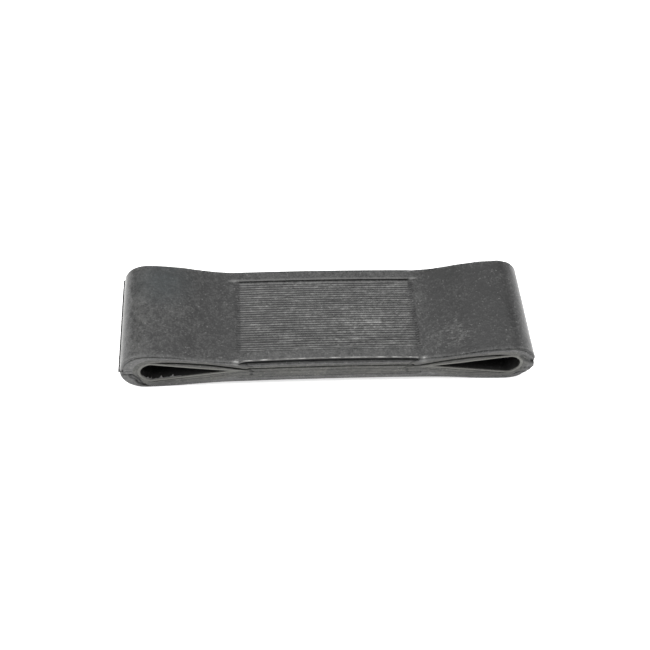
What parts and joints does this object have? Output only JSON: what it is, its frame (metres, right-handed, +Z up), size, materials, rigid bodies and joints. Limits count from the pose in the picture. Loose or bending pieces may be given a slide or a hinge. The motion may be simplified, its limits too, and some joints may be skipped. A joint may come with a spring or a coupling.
{
  "type": "rubber link",
  "caption": "Fabric-reinforced moulded rubber link: a long loop pressed flat at the waist, a teardrop pin eye at each end and a ribbed grip pad recessed on top.",
  "frame": {"origin": "bottom centre of the bounding box, on the surface the two eye ends rest on", "axes": "+X along the link toward the eye with the thinner end wall, +Y across it, +Z up out of the ribbed pad"},
  "size_m": [0.451, 0.125, 0.056],
  "materials": {
    "cover_rubber": "matte, faint moulding sheen",
    "cushion_rubber": "matte",
    "edge_rubber": "matte",
    "ply_fabric": "rubber-coated weave",
    "skim_rubber": "matte",
    "filler_rubber": "matte",
    "liner_rubber": "matte"
  },
  "bodies": {
    "root": {"cover_top": "cover_rubber", "cover_bottom": "cover_rubber", "cushion_bottom": "cushion_rubber", "edge_gum_front": "edge_rubber", "edge_gum_back": "edge_rubber", "ply_1": "ply_fabric", "ply_2": "ply_fabric", "ply_3": "ply_fabric", "ply_4": "ply_fabric", "ply_5": "ply_fabric", "skim_1": "skim_rubber", "skim_2": "skim_rubber", "skim_3": "skim_rubber", "skim_4": "skim_rubber", "centre_filler": "filler_rubber", "liner_left": "liner_rubber", "liner_right": "liner_rubber", "filler_left_top": "filler_rubber", "filler_left_bottom": "filler_rubber", "filler_right_top": "filler_rubber", "filler_right_bottom": "filler_rubber"}
  },
  "joints": []
}
